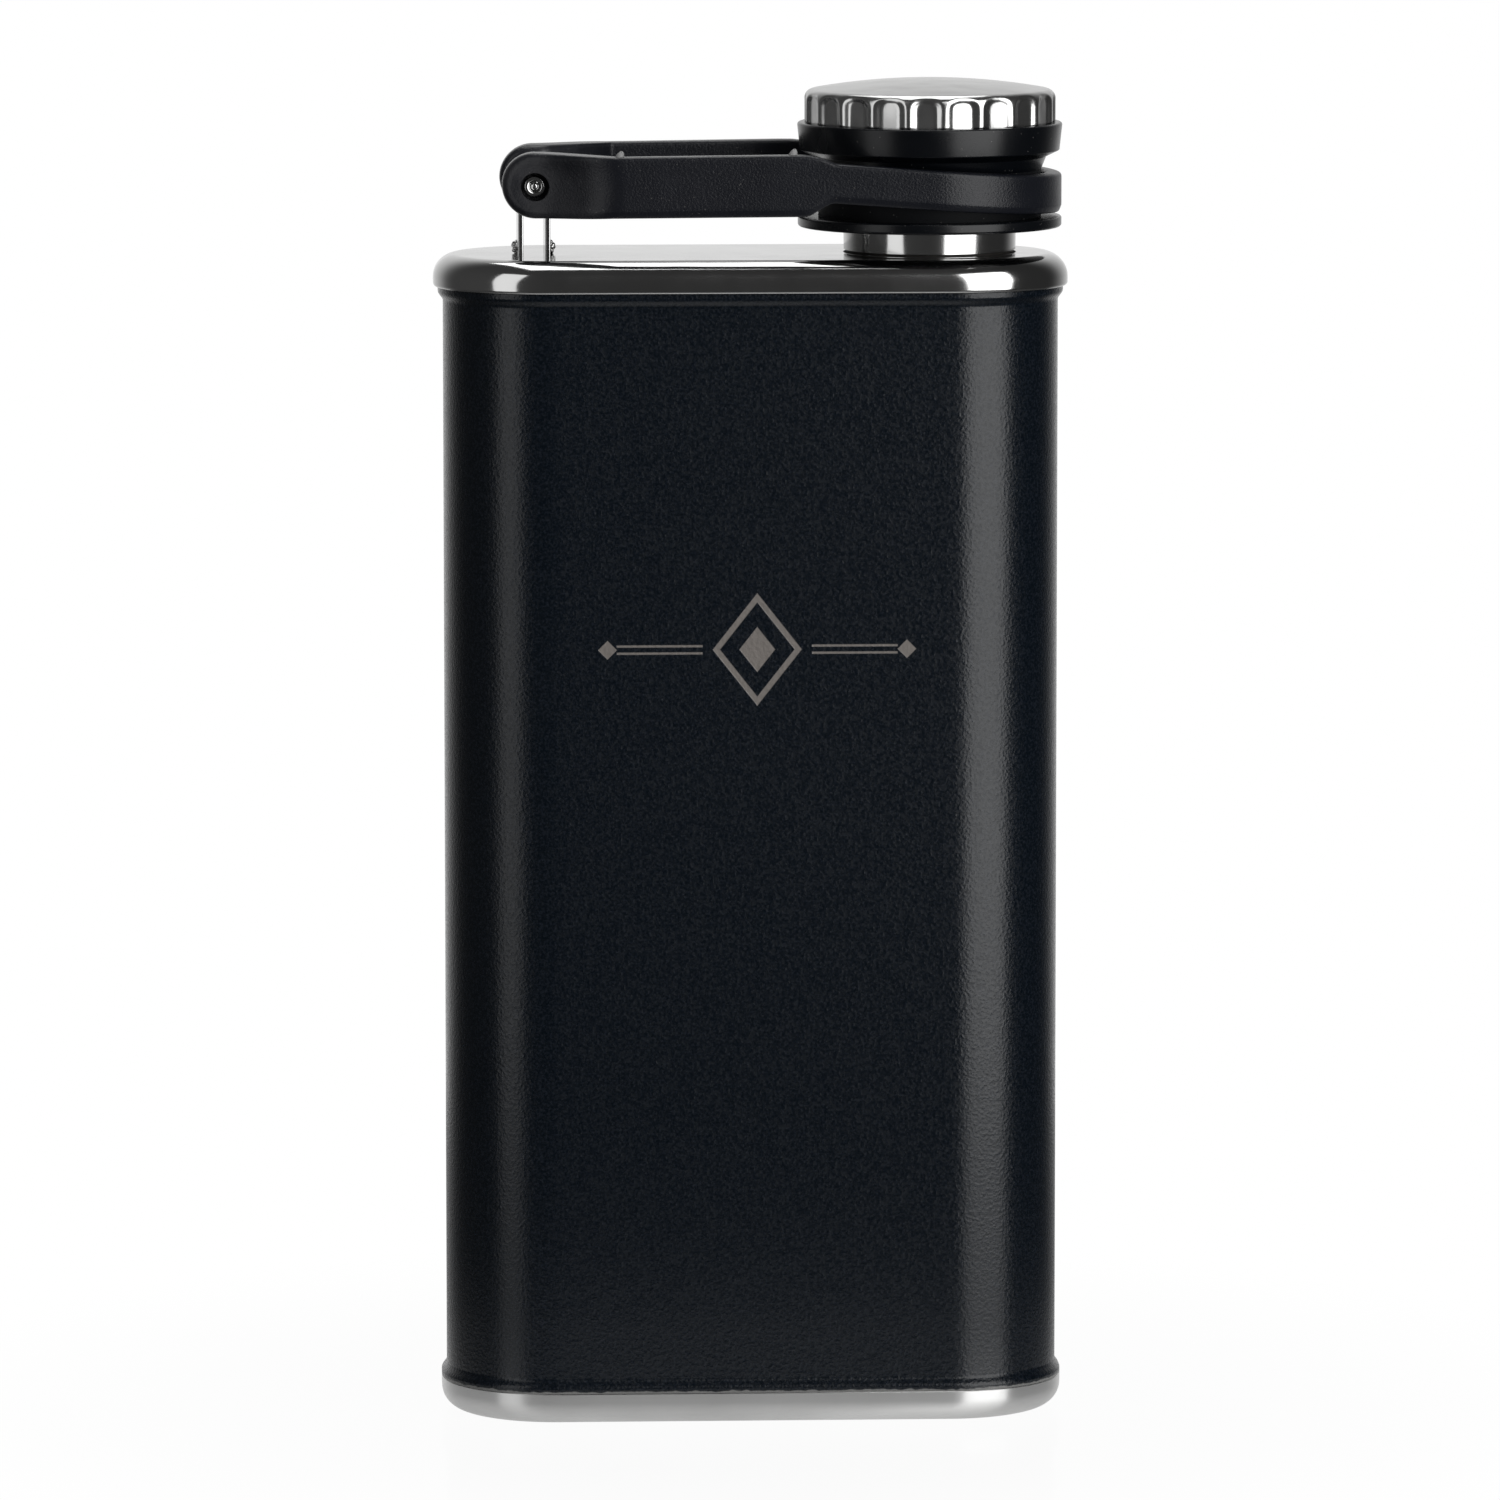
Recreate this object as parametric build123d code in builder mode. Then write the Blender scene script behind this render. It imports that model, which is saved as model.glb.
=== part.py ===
"""Hip flask with a captive screw cap.

A steel tube with a rounded-rectangle plan is closed by two pressed steel covers.
The threaded neck stands to the right of the top, and the cap on it is held by a
moulded arm, a long loop that pivots on a sheet-steel knuckle at the left.

Millimetres. The origin is at the middle of the base, on the ground. +X points to
the cap's side, +Z up, and the front looks along -Y.
"""
from build123d import *
import os

os.makedirs("parts", exist_ok=True)

# ---- Driving dimensions -------------------------------------------------------
body_width = 72.3           # plan of the straight tube, outside
body_depth = 27.8
end_flat = 0.9              # half the flat at each end, between the corner rounds
shoulder_height = 137.2     # flat top of the flask above the ground
tube_wall = 0.6

cover_height = 3.8          # both covers, from their flat to their edge
top_overhang = 1.15         # how far each cover stands out from the tube
base_overhang = 0.60
cover_wall = 1.0
top_edge_radius = 2.75
base_edge_radius = 2.7
lip_radius = 0.45

flare_reach = 0.60          # the tube's ends flare out to meet the covers
flare_rise = 1.2
flare_band = 0.5

cap_inset = 15.05           # cap's axis from the right end of the tube
pivot_inset = 10.65         # hinge pin's axis from the left end
pivot_rise = 8.4            # and above the flask's flat top

neck_radius = 10.15
neck_hole_clearance = 0.02
neck_shoulder_rise = 3.4
thread_core_radius = 9.75   # plain shank that carries the thread
neck_rise = 12.4
neck_bore_radius = 8.7
neck_lip = 0.35
neck_foot_radius = 11.6
neck_foot_thickness = 0.8

flange_inset = 0.1          # lower disc of the cap, inside the collar's edge
flange_low = 3.05
flange_high = 4.3
flange_edge = 0.4
flange_seat_radius = 11.8
collar_ledge = 0.8          # black collar stands out from the steel cap on it
collar_draft = 0.35
collar_low = 12.05
collar_high = 15.3
collar_edge = 0.3
cone_spread = 0.6           # cone between the groove and the collar
cone_high = 11.3
cone_low = 9.8
cap_bore_radius = 10.4      # clear of the thread's crest

shell_radius = 14.8         # steel cap
shell_edge_rise = 19.2      # where its round edge meets the domed top
shell_apex = 20.4
shell_edge_radius = 1.2
shell_edge_sweep = 80       # degrees
shell_wall = 1.1
flute_count = 21
flute_phase = -3.3          # first flute, in degrees from the front, negative to the left
flute_width = 3.2
flute_depth = 0.45
flute_top = 19.0
flute_corner = 0.9

gasket_thickness = 1.0
gasket_gap = 0.05           # open joint between the seal and the neck

pin_radius = 1.2
pin_recess = 0.25
pin_dimple_radius = 0.6
pin_dimple_depth = 0.7
knuckle_clearance = 0.08    # running fit of the pin
arm_bore_clearance = 0.02   # pressed fit of the pin in the arm
knuckle_wall = 0.6
knuckle_width = 10.0
weld_reach = 0.8
weld_rise = 1.7
weld_length = 3.0

arm_side_gap = 0.3          # knuckle to arm
head_radius = 3.95
head_wall = 3.5             # each of the two heads, beside the knuckle
counterbore_radius = 1.65
counterbore_depth = 0.55
shoulder_start = 0.6        # the shoulder swings out between these places, from the pivot
shoulder_end = 8.1
shoulder_shift = 1.2        # its inner face swings out this much further on
strap_inset = 0.5           # straps' outside after the shoulder, inside the ring's
strap_thickness = 2.5
strap_left_low, strap_left_high = 4.8, 12.05
strap_right_low, strap_right_high = 5.2, 12.45
step_start = 15.3           # step down to the ring, before the cap's axis
step_end = 11.9
ring_inset = 0.1            # ring's outside, inside the collar's edge
ring_thickness = 1.9
ring_clearance = 0.5        # all round the cap's groove
ring_rise = 8.2             # middle of the ring's band at the cap's axis
ring_height = 4.6
ring_fall = 0.072           # slope of the ring, down to the right
arm_edge = 0.35            # rounding of every outer and inner edge

# ---- Levels and planes worked out from them -----------------------------------
body_corner = body_depth / 2 - end_flat
cap_axis_x = body_width / 2 - cap_inset
pivot_x = pivot_inset - body_width / 2
collar_radius = shell_radius + collar_ledge
flange_radius = collar_radius - flange_inset
ring_radius = collar_radius - ring_inset
strap_outer = ring_radius - strap_inset
groove_radius = ring_radius - ring_thickness - ring_clearance
cone_radius = groove_radius + cone_spread
head_inner = knuckle_width / 2 + arm_side_gap
head_outer = head_inner + head_wall
strap_start_x = pivot_x + shoulder_end
step_start_x = cap_axis_x - step_start
step_end_x = cap_axis_x - step_end
tube_low = cover_height
tube_high = shoulder_height - cover_height
top_plane = Plane.XY.offset(shoulder_height)
pivot = (pivot_x, 0, shoulder_height + pivot_rise)
cap_plane = Plane((cap_axis_x, 0, shoulder_height), x_dir=(1, 0, 0), z_dir=(0, -1, 0))


def plan(overhang):
    """Rounded-rectangle plan of the flask, grown all round by overhang."""
    return RectangleRounded(
        body_width + 2 * overhang, body_depth + 2 * overhang, body_corner + overhang
    )


# ---- Body tube: a bent sheet profile swept round the plan ----------------------
with BuildPart() as body_tube:
    half_width = body_width / 2 - tube_wall / 2
    half_depth = body_depth / 2 - tube_wall / 2
    bend = body_corner - tube_wall / 2
    with BuildLine() as wall_path:
        front = Line((0, -half_depth), (half_width - bend, -half_depth))
        front_bend = JernArc(front @ 1, front % 1, bend, 90)
        end = Line(front_bend @ 1, (half_width, half_depth - bend))
        back_bend = JernArc(end @ 1, end % 1, bend, 90)
        Line(back_bend @ 1, (0, half_depth))
        mirror(about=Plane.YZ)
    with BuildSketch(Plane((0, -half_depth, 0), x_dir=(0, -1, 0), z_dir=(-1, 0, 0))):
        with BuildLine():
            band_low = Line((flare_reach, tube_low), (flare_reach, tube_low + flare_band))
            flare_low = Spline(
                band_low @ 1,
                (0, tube_low + flare_band + flare_rise),
                tangents=((0, 1), (0, 1)),
            )
            wall = Line(flare_low @ 1, (0, tube_high - flare_band - flare_rise))
            flare_high = Spline(
                wall @ 1,
                (flare_reach, tube_high - flare_band),
                tangents=((0, 1), (0, 1)),
            )
            Line(flare_high @ 1, (flare_reach, tube_high))
        trace(line_width=tube_wall)
    sweep(path=wall_path.wire())
body_tube.part.label = "body_tube"

# ---- Top cover: a pressed lid with a rolled edge and a hole for the neck --------
with BuildPart() as top_cover:
    with BuildSketch(top_plane):
        plan(top_overhang)
    extrude(amount=-cover_height)
    fillet(top_cover.faces().sort_by(Axis.Z)[-1].edges(), radius=top_edge_radius)
    offset(amount=-cover_wall, openings=top_cover.faces().sort_by(Axis.Z)[0])
    lip = top_cover.faces().sort_by(Axis.Z)[0].outer_wire()
    fillet(lip.edges(), radius=lip_radius)
    with Locations((cap_axis_x, 0, shoulder_height)):
        Hole(neck_radius + neck_hole_clearance, depth=2 * cover_wall)
top_cover.part.label = "top_cover"

# ---- Base cover -----------------------------------------------------------------
with BuildPart() as base_cover:
    with BuildSketch(Plane.XY):
        plan(base_overhang)
    extrude(amount=cover_height)
    fillet(base_cover.faces().sort_by(Axis.Z)[0].edges(), radius=base_edge_radius)
    offset(amount=-cover_wall, openings=base_cover.faces().sort_by(Axis.Z)[-1])
base_cover.part.label = "base_cover"

# ---- Neck: stands through the top cover, welded by the foot under it -------------
with BuildPart() as neck:
    with BuildSketch(cap_plane):
        with BuildLine():
            foot_high = -cover_wall
            foot_low = foot_high - neck_foot_thickness
            Polyline(
                (neck_bore_radius, foot_low),
                (neck_foot_radius, foot_low),
                (neck_foot_radius, foot_high),
                (neck_radius, foot_high),
                (neck_radius, neck_shoulder_rise),
                (thread_core_radius, neck_shoulder_rise),
                (thread_core_radius, neck_rise - neck_lip),
                (thread_core_radius - neck_lip, neck_rise),
                (neck_bore_radius, neck_rise),
                close=True,
            )
        make_face()
    revolve(axis=Axis((cap_axis_x, 0, 0), (0, 0, 1)))
neck.part.label = "neck"

# ---- Hinge knuckle: one strip folded over the pin, standing on two legs -----------
knuckle_bore = pin_radius + knuckle_clearance
knuckle_middle = knuckle_bore + knuckle_wall / 2
knuckle_plane = Plane(pivot, x_dir=(1, 0, 0), z_dir=(0, -1, 0))
with BuildPart() as hinge_bracket:
    with BuildSketch(knuckle_plane):
        with BuildLine():
            left_leg = Line((-knuckle_middle, -pivot_rise), (-knuckle_middle, 0))
            fold = RadiusArc(left_leg @ 1, (knuckle_middle, 0), knuckle_middle)
            Line(fold @ 1, (knuckle_middle, -pivot_rise))
        trace(line_width=knuckle_wall)
    extrude(amount=knuckle_width / 2, both=True)
hinge_bracket.part.label = "hinge_bracket"

# ---- Weld beads up the outer side of the knuckle's legs ------------------------------
with BuildPart() as bracket_welds:
    with BuildSketch(knuckle_plane):
        leg_face = knuckle_bore + knuckle_wall
        with BuildLine():
            toe = Line((leg_face, -pivot_rise), (leg_face + weld_reach, -pivot_rise))
            bead = Spline(
                toe @ 1,
                (leg_face, weld_rise - pivot_rise),
                tangents=((0, 1), (-1, 0)),
            )
            Line(bead @ 1, toe @ 0)
        make_face()
        mirror(about=Plane.YZ)
    extrude(amount=weld_length / 2, both=True)
bracket_welds.part.label = "bracket_welds"

# ---- Hinge pin: a rivet with a dimple in both ends ----------------------------------
with BuildPart() as hinge_pin:
    pin_half = head_outer - pin_recess
    with BuildSketch(knuckle_plane):
        Circle(pin_radius)
    extrude(amount=pin_half, both=True)
    for side in (-1, 1):
        with BuildSketch(knuckle_plane.offset(side * pin_half)):
            Circle(pin_dimple_radius)
        extrude(amount=-side * pin_dimple_depth, mode=Mode.SUBTRACT)
hinge_pin.part.label = "hinge_pin"


# ---- Retaining arm: a loop in plan, cut to its outline from the side -----------------
def arm_half_outline(head_y, strap_y, shift, ring_r):
    """One half of the loop seen from above, from the hinge end to the far side of the ring."""
    head_end = Line((pivot_x - head_radius, 0), (pivot_x - head_radius, head_y))
    head_side = Line(head_end @ 1, (pivot_x + shoulder_start + shift, head_y))
    strap_from = (strap_start_x + shift, strap_y)
    strap_to = (cap_axis_x, ring_r)
    strap_run = (strap_to[0] - strap_from[0], strap_to[1] - strap_from[1])
    Spline(head_side @ 1, strap_from, tangents=((1, 0), strap_run))
    Line(strap_from, strap_to)
    quarter = CenterArc((cap_axis_x, 0), ring_r, 0, 90)
    Line(quarter @ 0, head_end @ 0)


def ring_level(x):
    """Middle of the ring's band above the flat top, at a place along the flask."""
    return ring_rise - ring_fall * (x - cap_axis_x)


with BuildPart() as retaining_arm:
    with BuildSketch(top_plane):
        with BuildLine():
            arm_half_outline(head_outer, strap_outer, 0, ring_radius)
        make_face()
        with BuildLine():
            arm_half_outline(
                head_inner,
                strap_outer - strap_thickness,
                shoulder_shift,
                ring_radius - ring_thickness,
            )
        make_face(mode=Mode.SUBTRACT)
        mirror(about=Plane.XZ)
    extrude(amount=pivot_rise + 2 * head_radius)
    with BuildSketch(Plane.XZ):
        base = shoulder_height
        half_band = ring_height / 2
        far_x = cap_axis_x + ring_radius + ring_thickness
        with BuildLine():
            Polyline(
                (pivot_x, base + pivot_rise - head_radius),
                (strap_start_x, base + strap_left_low),
                (step_start_x, base + strap_right_low),
                (step_end_x, base + ring_level(step_end_x) - half_band),
                (far_x, base + ring_level(far_x) - half_band),
                (far_x, base + ring_level(far_x) + half_band),
                (step_end_x, base + ring_level(step_end_x) + half_band),
            )
            Spline(
                (step_end_x, base + ring_level(step_end_x) + half_band),
                (step_start_x, base + strap_right_high),
                tangents=((-1, ring_fall), (-1, 0)),
            )
            Polyline(
                (step_start_x, base + strap_right_high),
                (strap_start_x, base + strap_left_high),
                (pivot_x, base + pivot_rise + head_radius),
                (pivot_x, base + pivot_rise - head_radius),
            )
        make_face()
        with Locations((pivot_x, base + pivot_rise)):
            Circle(head_radius)
    extrude(amount=2 * ring_radius, both=True, mode=Mode.INTERSECT)
    fillet(retaining_arm.edges(), radius=arm_edge)
    arm_bores = [Plane(pivot, z_dir=(0, side, 0)).offset(head_outer) for side in (-1, 1)]
    with Locations(*arm_bores):
        CounterBoreHole(
            radius=pin_radius + arm_bore_clearance,
            counter_bore_radius=counterbore_radius,
            counter_bore_depth=counterbore_depth,
            depth=head_outer,
        )
retaining_arm.part.label = "retaining_arm"

# ---- Cap core: black moulding with the thread's bore, groove, cone and collar ---------
spigot_radius = shell_radius - shell_wall
spigot_high = flute_top
roof_low = neck_rise + gasket_gap + gasket_thickness
with BuildPart() as cap_core:
    with BuildSketch(cap_plane):
        with BuildLine():
            Polyline(
                (cap_bore_radius, flange_low),
                (flange_seat_radius, flange_low),
                (flange_seat_radius, flange_high),
                (groove_radius, flange_high),
                (groove_radius, cone_low),
                (cone_radius, cone_high),
                (collar_radius - collar_draft, collar_low),
                (collar_radius, collar_high),
                (spigot_radius, collar_high),
                (spigot_radius, spigot_high),
                (0, spigot_high),
                (0, roof_low),
                (cap_bore_radius, roof_low),
                close=True,
            )
        make_face()
    revolve(axis=Axis((cap_axis_x, 0, 0), (0, 0, 1)))
    rim = cap_core.edges().filter_by(GeomType.CIRCLE).sort_by(SortBy.RADIUS)[-1]
    fillet(rim, radius=collar_edge)
cap_core.part.label = "cap_core"

# ---- Cap flange: the lower disc, which keeps the ring in the groove ---------------------
with BuildPart() as cap_flange:
    with BuildSketch(top_plane.offset(flange_low)):
        with Locations((cap_axis_x, 0)):
            Circle(flange_radius)
            Circle(flange_seat_radius, mode=Mode.SUBTRACT)
    extrude(amount=flange_high - flange_low)
    outer_rims = cap_flange.edges().filter_by(GeomType.CIRCLE).group_by(SortBy.RADIUS)[-1]
    fillet(outer_rims, radius=flange_edge)
cap_flange.part.label = "cap_flange"

# ---- Cap shell: domed steel cup with arch-topped flutes round its side -------------------
with BuildPart() as cap_shell:
    with BuildSketch(cap_plane):
        with BuildLine():
            side = Line((shell_radius, collar_high), (shell_radius, shell_edge_rise - shell_edge_radius))
            edge = JernArc(side @ 1, (0, 1), shell_edge_radius, shell_edge_sweep)
            Spline(edge @ 1, (0, shell_apex), tangents=(edge % 1, (-1, 0)))
            Polyline(
                (0, shell_apex),
                (0, spigot_high),
                (spigot_radius, spigot_high),
                (spigot_radius, collar_high),
                side @ 0,
            )
        make_face()
    revolve(axis=Axis((cap_axis_x, 0, 0), (0, 0, 1)))
    flute_planes = []
    for number in range(flute_count):
        outward = Vector(0, -1, 0).rotate(Axis.Z, flute_phase + number * 360 / flute_count)
        middle = Vector(cap_axis_x, 0, shoulder_height + collar_high) + outward * shell_radius
        flute_planes.append(Plane(middle, x_dir=outward.cross(Vector(0, 0, -1)), z_dir=outward))
    with BuildSketch(*flute_planes):
        RectangleRounded(flute_width, 2 * (flute_top - collar_high), flute_corner)
    extrude(amount=-flute_depth, mode=Mode.SUBTRACT)
cap_shell.part.label = "cap_shell"

# ---- Gasket: soft disc in the cap's roof, on the neck's lip --------------------------------
with BuildPart() as cap_gasket:
    with BuildSketch(top_plane.offset(neck_rise + gasket_gap)):
        with Locations((cap_axis_x, 0)):
            Circle(cap_bore_radius)
    extrude(amount=gasket_thickness)
cap_gasket.part.label = "cap_gasket"

pieces = (
    body_tube,
    top_cover,
    base_cover,
    neck,
    hinge_bracket,
    bracket_welds,
    hinge_pin,
    retaining_arm,
    cap_core,
    cap_flange,
    cap_shell,
    cap_gasket,
)
for piece in pieces:
    export_step(piece.part, f"parts/{piece.part.label}.step")
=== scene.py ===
import bmesh
import bpy
import math
import numpy as np
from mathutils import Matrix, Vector


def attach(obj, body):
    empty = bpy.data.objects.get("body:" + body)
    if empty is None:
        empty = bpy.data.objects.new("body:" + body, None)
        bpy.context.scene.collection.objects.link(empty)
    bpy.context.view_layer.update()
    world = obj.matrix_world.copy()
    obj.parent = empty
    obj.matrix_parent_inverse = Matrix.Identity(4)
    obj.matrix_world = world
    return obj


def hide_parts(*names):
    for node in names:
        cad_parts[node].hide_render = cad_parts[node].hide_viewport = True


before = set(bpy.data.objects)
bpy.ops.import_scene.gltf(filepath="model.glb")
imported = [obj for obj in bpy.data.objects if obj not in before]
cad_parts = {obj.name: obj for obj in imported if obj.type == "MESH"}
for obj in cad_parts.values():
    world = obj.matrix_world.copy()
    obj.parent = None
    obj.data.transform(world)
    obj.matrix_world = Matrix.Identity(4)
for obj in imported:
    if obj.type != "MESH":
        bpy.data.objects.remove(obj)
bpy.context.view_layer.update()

# ---- Body tube ------------------------------------------------------------------------
# A strip of stainless sheet bent round to a rounded-rectangle tube and seam-welded. Both
# ends are flared to meet the covers. The outside is powder coated black, with an ornament
# etched through the coat on the front.
mm = 0.001
half_width, half_depth, bend_radius = 36.15 * mm, 13.9 * mm, 13.0 * mm
top_level, cover_height = 137.2 * mm, 3.8 * mm
tube_low, tube_high, sheet = cover_height, top_level - cover_height, 0.6 * mm
flare_reach, flare_rise, flare_band = 0.60 * mm, 1.2 * mm, 0.5 * mm


def plan(bend_steps=28, front_steps=40, end_steps=10):
    """The tube's plan once round, counterclockwise from above: four quarter bends, each its
    corner's centre plus the bend radius along the outward normal, and straight runs between
    them, where the normal stays the same. Gives the points and the outward normals."""
    reach = half_width - bend_radius, half_depth - bend_radius
    centres = np.array([[1, -1], [1, 1], [-1, 1], [-1, -1]]) * reach
    points, normals = [], []
    for quarter, centre in enumerate(centres):
        turn = np.radians(90 * quarter - 90 + np.linspace(0, 90, bend_steps))
        normal = np.stack([np.cos(turn), np.sin(turn)], axis=1)
        bend = centre + bend_radius * normal
        following = centres[(quarter + 1) % 4] + bend_radius * normal[-1]
        steps = end_steps if quarter % 2 == 0 else front_steps
        share = np.linspace(0, 1, steps, endpoint=False)[1:, None]
        points += [bend, bend[-1] + share * (following - bend[-1])]
        normals += [normal, np.repeat(normal[-1:], steps - 1, axis=0)]
    return np.concatenate(points), np.concatenate(normals)


def carried(offset, level, towards=0, share=0):
    """An outline carried round the plan: each point goes out along the plan's normal by its
    offset, then by its share of the way towards a point further in, so that a flat can run to
    the middle or to a round hole, and up to its level."""
    points, normals = plan()
    flat = points[None] + offset[:, None, None] * normals[None]
    flat = flat + np.reshape(share, (-1, 1, 1)) * (towards - flat)
    return np.dstack([flat, np.broadcast_to(level[:, None], flat.shape[:2])])


def tube_wall(flare_steps=14, wall_steps=24):
    """The sheet's outline: outside going up, then inside coming down. Each flare moves out by
    its reach as a half cosine wave over its rise, then runs straight for a band."""
    share = np.linspace(0, 1, flare_steps)
    out = flare_reach * 0.5 * (1 + np.cos(math.pi * share))
    up = tube_low + flare_band + flare_rise * share
    down = tube_high - flare_band - flare_rise * share
    straight = np.linspace(up[-1], down[-1], wall_steps)[1:-1]
    offset = np.concatenate([[flare_reach], out, 0 * straight, out[::-1], [flare_reach]])
    level = np.concatenate([[tube_low], up, straight, down[::-1], [tube_high]])
    return np.concatenate([offset, offset[::-1] - sheet]), np.concatenate([level, level[::-1]])


def skin(name, grid, closed_rows, material, sharp=35):
    """A mesh over a grid of points: each point joins the next in its row and the one in the
    row above by a four-sided face. Every row runs once round. With closed_rows the last row
    also joins the first. Points that fall together, as at a pole, become one. The faces are
    turned outwards by the sign of the enclosed volume, and edges past the sharp angle, in
    degrees, stay crisp."""
    together = 1e-4 * mm
    rows, columns = grid.shape[:2]
    number = np.arange(rows * columns).reshape(rows, columns)
    low = number if closed_rows else number[:-1]
    high = np.roll(number, -1, axis=0) if closed_rows else number[1:]
    faces = np.stack([low, np.roll(low, -1, axis=1), np.roll(high, -1, axis=1), high], axis=-1)
    faces = faces.reshape(-1, 4)
    points = grid.reshape(-1, 3)
    a, b, c, d = (points[faces[:, k]] for k in range(4))
    volume = np.einsum("ij,ij->i", a, np.cross(b, c) + np.cross(c, d)).sum()
    if volume < 0:
        faces = faces[:, ::-1]
    mesh = bpy.data.meshes.new(name)
    mesh.from_pydata(points.tolist(), [], faces.tolist())
    shell = bmesh.new()
    shell.from_mesh(mesh)
    bmesh.ops.remove_doubles(shell, verts=shell.verts, dist=together)
    shell.to_mesh(mesh)
    shell.free()
    mesh.shade_smooth()
    mesh.materials.append(material)
    piece = bpy.data.objects.new(name, mesh)
    bpy.context.scene.collection.objects.link(piece)
    if sharp:
        mesh.set_sharp_from_angle(angle=math.radians(sharp))
    return piece


def put(tree, kind, inputs=(), **settings):
    """A node of that kind with its settings and inputs. An input is a value or the output of
    another node, named by its label or its place."""
    made = tree.nodes.new("ShaderNode" + kind)
    for label, value in settings.items():
        setattr(made, label, value)
    for label, value in dict(inputs).items():
        if isinstance(value, bpy.types.NodeSocket):
            tree.links.new(value, made.inputs[label])
        else:
            made.inputs[label].default_value = value
    return made


def finish_of(name, **settings):
    """A new material's node tree, its shader with these settings, and its place on the piece
    in metres."""
    material = bpy.data.materials.new(name)
    material.use_nodes = True
    tree = material.node_tree
    shader = tree.nodes["Principled BSDF"]
    for label, value in settings.items():
        shader.inputs[label.replace("_", " ")].default_value = value
    place = tree.nodes.new("ShaderNodeTexCoord").outputs["Object"]
    return material, tree, shader, place


def wire(tree, shader, **outputs):
    """Leads outputs of other nodes into the shader's inputs of these names."""
    for label, output in outputs.items():
        tree.links.new(output, shader.inputs[label.replace("_", " ")])


def noise(tree, place, scale, detail, roughness=0.5):
    """Cloudy noise about a middle of 0.5, with about that many swells to the metre."""
    labels = {"Vector": place, "Scale": scale, "Detail": detail, "Roughness": roughness}
    return put(tree, "TexNoise", labels).outputs["Fac"]


def ranged(tree, value, low, high, start=0.0, end=1.0, **settings):
    """A value that runs from start to end while another goes from low to high, and stays
    there beyond them."""
    labels = {"Value": value, "From Min": low, "From Max": high, "To Min": start, "To Max": end}
    return put(tree, "MapRange", labels, **settings).outputs[0]


def tint(tree, factor, first, second):
    """Blends one colour, or colour output, into another by a factor."""
    made = put(tree, "Mix", {0: factor, 6: first, 7: second}, data_type="RGBA")
    return made.outputs[2]


def maths(tree, operation, *values, **settings):
    """The output of one sum on values or outputs of other nodes."""
    return put(tree, "Math", dict(enumerate(values)), operation=operation, **settings).outputs[0]


def dented(tree, height, depth, strength=1.0, **under):
    """The surface's direction where a height, times a depth in metres, dents it."""
    labels = {"Height": height, "Distance": depth, "Strength": strength, **under}
    return put(tree, "Bump", labels).outputs[0]


ornament_middle, ornament_level = 0.2 * mm, 91.8 * mm
lozenge_half, lozenge_rise, end_lozenge = 5.2 * mm, 6.6 * mm, 1.1 * mm
outline_share, heart_share = 0.84, 0.40
rule_start, rule_end, rule_rise, rule_half = 6.4 * mm, 16.4 * mm, 0.42 * mm, 0.13 * mm


def rules_and_lozenges(tree, place):
    """Where the ornament is etched, 0 to 1. Along and up are measured from its middle. A lozenge
    is where along and up, each over its own reach, add up to less than 1: an outlined one in the
    middle with a solid one inside it, and a small one at the end of the pair of thin rules on
    each side. Nothing is etched behind the front face."""

    def apart(value, middle):
        """Distance of a value from a middle, either way."""
        return maths(tree, "ABSOLUTE", maths(tree, "SUBTRACT", value, middle))

    def inside(value, limit, soft=0.03 * mm):
        """1 below the limit and 0 above it, with a soft edge."""
        return ranged(tree, value, limit + soft, limit - soft)

    def lozenge(out, half, rise):
        """Two distances from a lozenge's middle, each over its half size, added up."""
        shares = maths(tree, "DIVIDE", out, half), maths(tree, "DIVIDE", up, rise)
        return maths(tree, "ADD", *shares)

    at = put(tree, "SeparateXYZ", {0: place})
    along, up = apart(at.outputs["X"], ornament_middle), apart(at.outputs["Z"], ornament_level)
    middle = lozenge(along, lozenge_half, lozenge_rise)
    outline = maths(tree, "SUBTRACT", inside(middle, 1, 0.01), inside(middle, outline_share, 0.01))
    heart = inside(middle, heart_share, 0.01)
    end = lozenge(apart(along, rule_end + end_lozenge), end_lozenge, end_lozenge)
    run = inside(apart(along, 0.5 * (rule_start + rule_end)), 0.5 * (rule_end - rule_start))
    pair = maths(tree, "MULTIPLY", inside(apart(up, rule_rise), rule_half), run)
    drawn = maths(tree, "MAXIMUM", outline, heart)
    drawn = maths(tree, "MAXIMUM", drawn, maths(tree, "MAXIMUM", inside(end, 1, 0.03), pair))
    front = inside(at.outputs["Y"], 0.1 * mm - half_depth, 0.05 * mm)
    return maths(tree, "MULTIPLY", drawn, front)


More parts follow.
